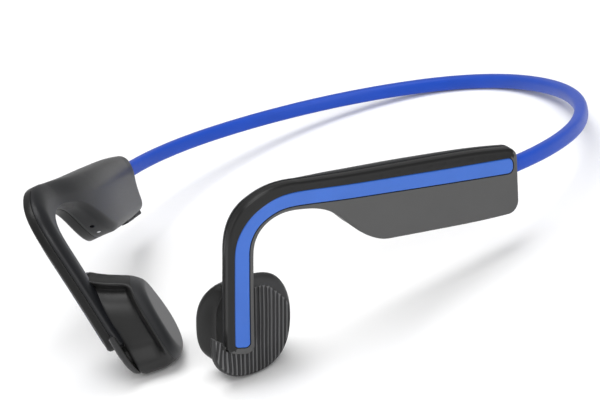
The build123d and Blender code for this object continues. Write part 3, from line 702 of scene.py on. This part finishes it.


# the edge above and in front of the stripe rolls over more than the rest; there the face is painted with the darker
# shell material as painted shade
ROLL = smoothstep(0.15, 0.45, np.maximum(OUT_N[:, 1], -OUT_N[:, 0])) * smoothstep(-0.75, -0.45, OUT_N[:, 1]) * \
    (1 - smoothstep(-62, -55, OUTLINE[:, 0]) * smoothstep(0.1, -0.2, OUT_N[:, 1])) * smoothstep(0.9, 0.5, OUT_N[:, 0])
ROLL = ROLL * (1 - (OUTLINE[:, 0] > -68) * (OUTLINE[:, 1] < -5) * (OUTLINE[:, 0] < 0))
ROLL = np.mean([np.roll(ROLL, k) for k in range(-5, 6)], 0)


def roll(pts):
    """depth of the rolled edge, and whether a point is on it"""
    d = np.empty(len(pts))
    w = np.empty(len(pts))
    for i in range(0, len(pts), 2000):
        q = ((pts[i:i + 2000, None] - OUTLINE[None]) ** 2).sum(-1)
        j = q.argmin(1)
        d[i:i + 2000] = np.sqrt(q[np.arange(len(j)), j])
        w[i:i + 2000] = ROLL[j]
    u = np.clip(1 - d / 2.3, 0, 1)
    # the second value marks the faces that get the darker shell material: painted shade
    return 0.95 * w * u * u, 1.0 * (d < 4.3 * w)


def slab(name, side, steps, cap_top, cap_bottom, hole=None, mats=("shell",), ring_mats=None, sharp=0.7, holes_below=None):
    """closed shell between the outer face and a lower surface; steps are (inset, depth) rings from top to bottom"""
    n = len(OUTLINE)
    top_loop = OUTLINE - OUT_N * steps[0][0]
    pts, tris = fill(top_loop, hole, 0.7)
    verts = [under_face(pts, steps[0][1] + roll(pts)[0])]
    faces = [tuple(t) for t in tris]
    # cap faces on the rolled edge get the shell material: painted shade
    mi = [2 if f > 0.5 else 0 for f in roll(pts[tris].mean(1))[1]]
    base = len(pts)
    prev = 0
    start = 0
    for k, (inset, depth) in enumerate(steps[1:], 1):
        fd = max(0.0, 1 - (depth - steps[0][1]) / 1.6)
        verts.append(under_face(OUTLINE - OUT_N * inset, depth + fd * roll(top_loop)[0]))
        for j in range(n):
            a, b = start + j, start + (j + 1) % n
            faces.append((a, base + j, base + (j + 1) % n, b))
            # rings on the rolled edge get the shell material: painted shade
            mi.append(2 if ROLL[j] > 0.5 and ring_mats else ring_mats[k - 1] if ring_mats else 0)
        start = base
        base += n
    # lower cap
    low_loop = OUTLINE - OUT_N * steps[-1][0]
    p2, t2 = fill(low_loop, None, 1.3)
    verts.append(under_face(p2[n:], steps[-1][1]))
    idx = lambda i: start + i if i < n else base + (i - n)
    for t in t2:
        faces.append((idx(t[0]), idx(t[2]), idx(t[1])))
        mi.append(ring_mats[-1] if ring_mats else 0)
    base += len(p2) - n
    if hole is not None:
        m = len(hole)
        hn = outward(hole)
        lay = [(0.0, steps[0][1]), (0.10, steps[0][1] + 0.10), (0.10, STRIPE_D)]
        # the hole's rim is the loop after the outline; it is chamfered a little and goes down to the groove floor
        loops = [list(range(n, n + m))]
        for inset, depth in lay[1:]:
            verts.append(under_face(hole - hn * inset * 0.6, depth))
            loops.append(list(range(base, base + m)))
            base += m
        for A, B in zip(loops, loops[1:]):
            for j in range(m):
                faces.append((A[j], A[(j + 1) % m], B[(j + 1) % m], B[j]))
                mi.append(1)
        p3, t3 = fill(hole - hn * 0.06, None, 1.3)
        verts.append(under_face(p3[m:], STRIPE_D))
        last = loops[-1]
        for t in t3:
            faces.append(tuple(last[i] if i < m else base + (i - m) for i in t))
            mi.append(1)
        base += len(p3) - m
    return make(name, np.concatenate(verts), faces, list(mats), side, mi, sharp=sharp)


def edge_steps(r, top, n=7, sign=1):
    return [(r * (1 - math.cos(math.radians(a))), top + sign * r * (1 - math.sin(math.radians(a)))) for a in np.linspace(90, 0, n)]


def outer_shell(side, nm):
    r = 0.8
    steps = [(r * (1 - math.cos(math.radians(90 - t))), r * (1 - math.sin(math.radians(90 - t)))) for t in np.linspace(0, 90, 8)]
    steps = [(r - i, d) for i, d in [(r * math.sin(math.radians(t)), r * (1 - math.cos(math.radians(t)))) for t in np.linspace(0, 90, 8)]]
    steps += [(0.0, 1.5), (0.0, SEAM_OUT - 0.12), (0.05, SEAM_OUT - 0.03), (0.14, SEAM_OUT)]
    # the outer part of the edge rounding keeps the face material; the rest of the rounding and the side walls get the
    # darker shell material as painted shade
    ring_mats = [0, 0, 0, 0, 2, 2, 2, 2, 2, 2, 2]
    return slab(f"{nm}_outer_shell_skin", side, steps, True, True, hole=GROOVE, mats=("face", "gasket", "shell"),
                ring_mats=ring_mats)


def squeeze(pq, f):
    """the under side is smaller than the outer face: top, front and rear walls lean in with depth"""
    p, q = pq[..., 0], pq[..., 1]
    top = np.interp(p, [-75, -57, -46, -34, -20, -8, 1.4], [11.0, 10.5, 8.7, 7, 5, 3, 1])
    drop = np.interp(p, [-75, -60, -50, -38, 2], [2.6, 2.9, 3.6, 4.6, 4.8])
    q2 = q - f * drop * smoothstep(top - 12.5, top, q) - 0.7 * f * smoothstep(-52, -42, p)
    p2 = p - f * 3.2 * smoothstep(-12, 1.4, p) * smoothstep(-15, -5, q) + f * 2.0 * smoothstep(-68.9, -75.3, p)
    return np.stack([p2, q2], -1)


def inner_shell(side, nm):
    """under side with a generous rounding, so the edge is soft all round"""
    n = len(OUTLINE)
    yy = under_face(OUTLINE, 3.5)[:, 1]

    def r_of(y):
        return np.minimum(2.3, (thick(y) - SEAM_IN - 0.16) * 0.96)

    # at the outline's own corners the rounding is no larger than the corner
    d0 = OUTLINE - np.roll(OUTLINE, 3, 0)
    d1 = np.roll(OUTLINE, -3, 0) - OUTLINE
    bend = np.arctan2(d0[:, 0] * d1[:, 1] - d0[:, 1] * d1[:, 0], (d0 * d1).sum(1))
    lim = np.where(bend > 0.02, 0.5 * (np.hypot(*d0.T) + np.hypot(*d1.T)) / np.maximum(bend, 0.02), 99.0) * 0.8
    low = np.min([np.roll(lim, k) for k in range(-6, 7)], 0)
    rr = np.minimum(r_of(yy), low)
    rr = np.mean([np.roll(rr, k) for k in range(-4, 5)], 0)
    rr = np.minimum(rr, np.minimum(r_of(yy), lim))
    full = thick(under_face(squeeze(OUTLINE - OUT_N * rr[:, None], 0.827), thick)[:, 1])
    rr = np.minimum(rr, (full - SEAM_IN - 0.16) * 0.96)
    rings_ = [(0.14, np.full(n, SEAM_IN)), (0.05, np.full(n, SEAM_IN + 0.03)), (0.0, np.full(n, SEAM_IN + 0.12))]
    for u in (0.2, 0.4, 0.6, 0.8):
        rings_.append((0.0, SEAM_IN + 0.12 + u * (full - rr - SEAM_IN - 0.12)))
    for t in np.linspace(0, 90, 10):
        c, s = math.cos(math.radians(t)), math.sin(math.radians(t))
        rings_.append(((rr * (1 - c))[:, None], full - rr * (1 - s)))

    def share(depth):
        u = np.clip((depth - SEAM_IN) / (full - SEAM_IN), 0, 1)
        return 1 - np.sqrt(1 - 0.97 * u * u)

    top = OUTLINE - OUT_N * rings_[0][0]
    pts, tris = fill(top, None, 1.6)
    verts = [under_face(pts, SEAM_IN)]
    faces = [tuple(t) for t in tris]
    base, start = len(pts), 0
    for inset, depth in rings_[1:]:
        verts.append(under_face(squeeze(OUTLINE - OUT_N * inset, share(depth)), depth))
        for j in range(n):
            a, b = start + j, start + (j + 1) % n
            faces.append((a, base + j, base + (j + 1) % n, b))
        start = base
        base += n
    inset, depth = rings_[-1]
    p2, t2 = fill(squeeze(OUTLINE - OUT_N * inset, share(depth)), None, 0.9)
    verts.append(under_face(p2[n:], thick))
    idx = lambda i: start + i if i < n else base + (i - n)
    faces += [(idx(t[0]), idx(t[2]), idx(t[1])) for t in t2]
    # these walls take the inner material, a darker copy of the face plastic: painted shade
    return make(f"{nm}_inner_shell_skin", np.concatenate(verts), faces, ["inner"], side, sharp=0.7)


def trim(side, nm):
    """inlaid stripe with a softly rounded edge"""
    r, top = 0.28, 0.0
    n = len(TRIM)
    tn = outward(TRIM)
    rings_ = [(r * (1 - math.sin(t)) , r * (1 - math.cos(t)) + top) for t in np.radians([0, 18, 36, 54, 72, 90])]
    rings_ += [(0.0, STRIPE_D - 0.01)]
    pts, tris = fill(TRIM - tn * rings_[0][0], None, 0.7)
    verts = [under_face(pts, rings_[0][1])]
    faces = [tuple(t) for t in tris]
    base, start = len(pts), 0
    for inset, depth in rings_[1:]:
        verts.append(under_face(TRIM - tn * inset, depth))
        for j in range(n):
            a, b = start + j, start + (j + 1) % n
            faces.append((a, base + j, base + (j + 1) % n, b))
        start = base
        base += n
    p2, t2 = fill(TRIM, None, 1.6)
    verts.append(under_face(p2[n:], rings_[-1][1]))
    idx = lambda i: start + i if i < n else base + (i - n)
    faces += [(idx(t[0]), idx(t[2]), idx(t[1])) for t in t2]
    return make(f"{nm}_trim_inlay", np.concatenate(verts), faces, ["stripe"], side, sharp=0.9)


# ------------------------------------------------------------------ cutters
def prism(poly, origin, ux, uy, un, h0, h1, side):
    """closed prism in the band frame from a flat outline"""
    poly = np.asarray(poly, float)
    v = [origin + poly[:, :1] * ux + poly[:, 1:2] * uy + h * un for h in (h0, h1)]
    n = len(poly)
    f = rings((2, n), cap0=True, cap1=True)
    ob = make("cutter", np.concatenate(v), f, ["black"], side, smooth=False)
    return ob


def cut(ob, *cutters):
    bpy.context.view_layer.update()
    for c in cutters:
        m = ob.modifiers.new("cut", "BOOLEAN")
        m.operation = "DIFFERENCE"
        m.solver = "EXACT"
        m.object = c
    dg = bpy.context.evaluated_depsgraph_get()
    me = bpy.data.meshes.new_from_object(ob.evaluated_get(dg))
    ob.modifiers.clear()
    old = ob.data
    ob.data = me
    bpy.data.meshes.remove(old)
    for c in cutters:
        bpy.data.objects.remove(c)
    bm = bmesh.new()
    bm.from_mesh(me)
    for e in bm.edges:
        if len(e.link_faces) == 2:
            e.smooth = e.calc_face_angle(0) < 0.7
    bm.to_mesh(me)
    bm.free()
    return ob


def rrect(w, h, r, n=6):
    out = []
    for cx, cy, a0 in ((w / 2 - r, h / 2 - r, 0), (-w / 2 + r, h / 2 - r, 90), (-w / 2 + r, -h / 2 + r, 180), (w / 2 - r, -h / 2 + r, 270)):
        for t in np.linspace(a0, a0 + 90, n):
            out.append((cx + r * math.cos(math.radians(t)), cy + r * math.sin(math.radians(t))))
    return out


BOT_A = math.atan2(BOTTOM[-1][1] - BOTTOM[0][1], BOTTOM[-1][0] - BOTTOM[0][0])
BOT_X = math.cos(BOT_A) * E1 + math.sin(BOT_A) * E2
BOT_N = math.sin(BOT_A) * E1 - math.cos(BOT_A) * E2
BOT_Y = np.cross(BOT_N, BOT_X)


def below(p, depth):
    f = (p - BOTTOM[0][0]) / (BOTTOM[-1][0] - BOTTOM[0][0])
    q = BOTTOM[0][1] + f * (BOTTOM[-1][1] - BOTTOM[0][1]) + 0.05
    return on_face(np.array([[p, q]]), depth)[0]


MIC_DIR = -(0.66 * E1 + 0.75 * E2)
MIC_U = 0.75 * E1 - 0.66 * E2
MIC_V = np.cross(MIC_DIR, MIC_U)
circle = lambda r, n=28: [(r * math.cos(2 * math.pi * k / n), r * math.sin(2 * math.pi * k / n)) for k in range(n)]

for side, nm in ((1, "left"), (-1, "right")):
    o = outer_shell(side, nm)
    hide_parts(f"{nm}_outer_shell")
    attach(o, f"{nm}_arm")
    i = inner_shell(side, nm)
    if nm == "right":
        cs = []
        for p in (-5.6, -13.2):
            cs.append(prism(rrect(6.8, 2.4, 0.8), below(p, 4.9), BOT_X, BOT_Y, BOT_N, -3.4, 4, side))
        cs.append(prism(rrect(9.0, 3.22, 1.22), below(-26.6, 5.2), BOT_X, BOT_Y, BOT_N, -9.0, 1.0, side))
        cs.append(prism(rrect(11.2, 3.9, 0.35), below(-26.6, 5.2), BOT_X, BOT_Y, BOT_N, -1.02, 4.0, side))
        cs.append(prism(circle(0.6), on_face(np.array([[-42.9, -5.7]]), 4.6)[0], MIC_U, MIC_V, MIC_DIR, -3.0, 3.0, side))
        cs.append(prism(circle(0.55), on_face(np.array([[-39.9, -8.1]]), 4.6)[0], MIC_U, MIC_V, MIC_DIR, -3.0, 3.0, side))
        i = cut(i, *cs)
    # the ribbed plate is open round the hook
    g = 0.3
    slot = joined(line((-88, 12), (-88, -25.0)), line((-88, -25.0), (-78.0, -25.0)), line((-78.0, -25.0), (FRONT[-1][0] - g, -27.0)),
                  line((FRONT[-1][0] - g, -27.0), (FRONT[-1][0] - g, HOOK_END - g)),
                  line((FRONT[-1][0] - g, HOOK_END - g), (HOOK_REAR[0] + g, HOOK_REAR[1] - g)),
                  line((HOOK_REAR[0] + g, HOOK_REAR[1] - g), (HOOK_REAR[0] + g, 12)),
                  line((HOOK_REAR[0] + g, 12), (-88, 12)))
    slot = rounded(slot, [((FRONT[-1][0] - g, HOOK_END - g), 1.9 + g), ((HOOK_REAR[0] + g, HOOK_REAR[1] - g), 1.9 + g)])
    p = cut(PLATES[nm], prism(slot[::2], P0, E1, E2, EN, -30.0, 30.0, side))
    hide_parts("multifunction_button" if nm == "left" else "right_ribbed_cover")
    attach(p, "multifunction_button" if nm == "left" else "right_arm")
    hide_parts(f"{nm}_inner_shell")
    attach(i, f"{nm}_arm")
    t = trim(side, nm)
    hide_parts(f"{nm}_trim_stripe")
    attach(t, f"{nm}_arm")

# ------------------------------------------------------------------ floor, light, camera
fm = bpy.data.materials.new("floor")
fm.use_nodes = True
fb = fm.node_tree.nodes["Principled BSDF"]
fb.inputs["Base Color"].default_value = (0.93, 0.93, 0.93, 1)
fb.inputs["Roughness"].default_value = 0.9
fb.inputs["Specular IOR Level"].default_value = 0.1
me = bpy.data.meshes.new("floor")
me.from_pydata([(-4, -4, 0), (4, -4, 0), (4, 4, 0), (-4, 4, 0)], [], [(0, 1, 2, 3)])
me.materials.append(fm)
floor = bpy.data.objects.new("floor", me)
bpy.context.scene.collection.objects.link(floor)

world = bpy.data.worlds.new("studio")
world.use_nodes = True
world.node_tree.nodes["Background"].inputs["Color"].default_value = (1, 1, 1, 1)
world.node_tree.nodes["Background"].inputs["Strength"].default_value = 0.42
bpy.context.scene.world = world
bpy.context.scene.view_settings.view_transform = "Standard"

a, e, roll = math.radians(37.23), math.radians(13.74), math.radians(-11.25)
F_PX, DIST = 2944.6, 700.0
T = np.array([2.14, -10.35, -7.77])
right = np.array([math.cos(a), math.sin(a), 0])
up = np.array([-math.sin(e) * math.sin(a), math.sin(e) * math.cos(a), math.cos(e)])
back = np.array([math.sin(a) * math.cos(e), -math.cos(a) * math.cos(e), math.sin(e)])
r2 = math.cos(roll) * right + math.sin(roll) * up
u2 = -math.sin(roll) * right + math.cos(roll) * up
eye = place(T + DIST * back)
cam = bpy.data.cameras.new("camera")
cam.sensor_width = 36.0
cam.lens = F_PX * 36.0 / 600.0
cam.clip_start, cam.clip_end = 0.01, 50
co = bpy.data.objects.new("camera", cam)
rot = np.stack([turn(r2), turn(u2), turn(back)], 1)
mat = np.eye(4)
mat[:3, :3] = rot
mat[:3, 3] = eye
co.matrix_world = Matrix(mat.tolist())
bpy.context.scene.collection.objects.link(co)
bpy.context.scene.camera = co


def area(name, loc, size, power, target=(0, -0.01, 0.02), colour=(1, 1, 1)):
    l = bpy.data.lights.new(name, "AREA")
    l.shape = "RECTANGLE"
    l.size, l.size_y = size
    l.energy = power
    l.color = colour
    ob = bpy.data.objects.new(name, l)
    ob.location = loc
    d = Vector(target) - Vector(loc)
    ob.rotation_mode = "QUATERNION"
    ob.rotation_quaternion = d.to_track_quat("-Z", "Y")
    bpy.context.scene.collection.objects.link(ob)
    return ob


area("key", (0.75, -0.55, 0.55), (0.6, 0.6), 5.5)
area("top", (0.0, 0.0, 1.1), (0.9, 0.9), 9)
area("fill", (-0.7, -0.6, 0.45), (0.6, 0.6), 1.2)
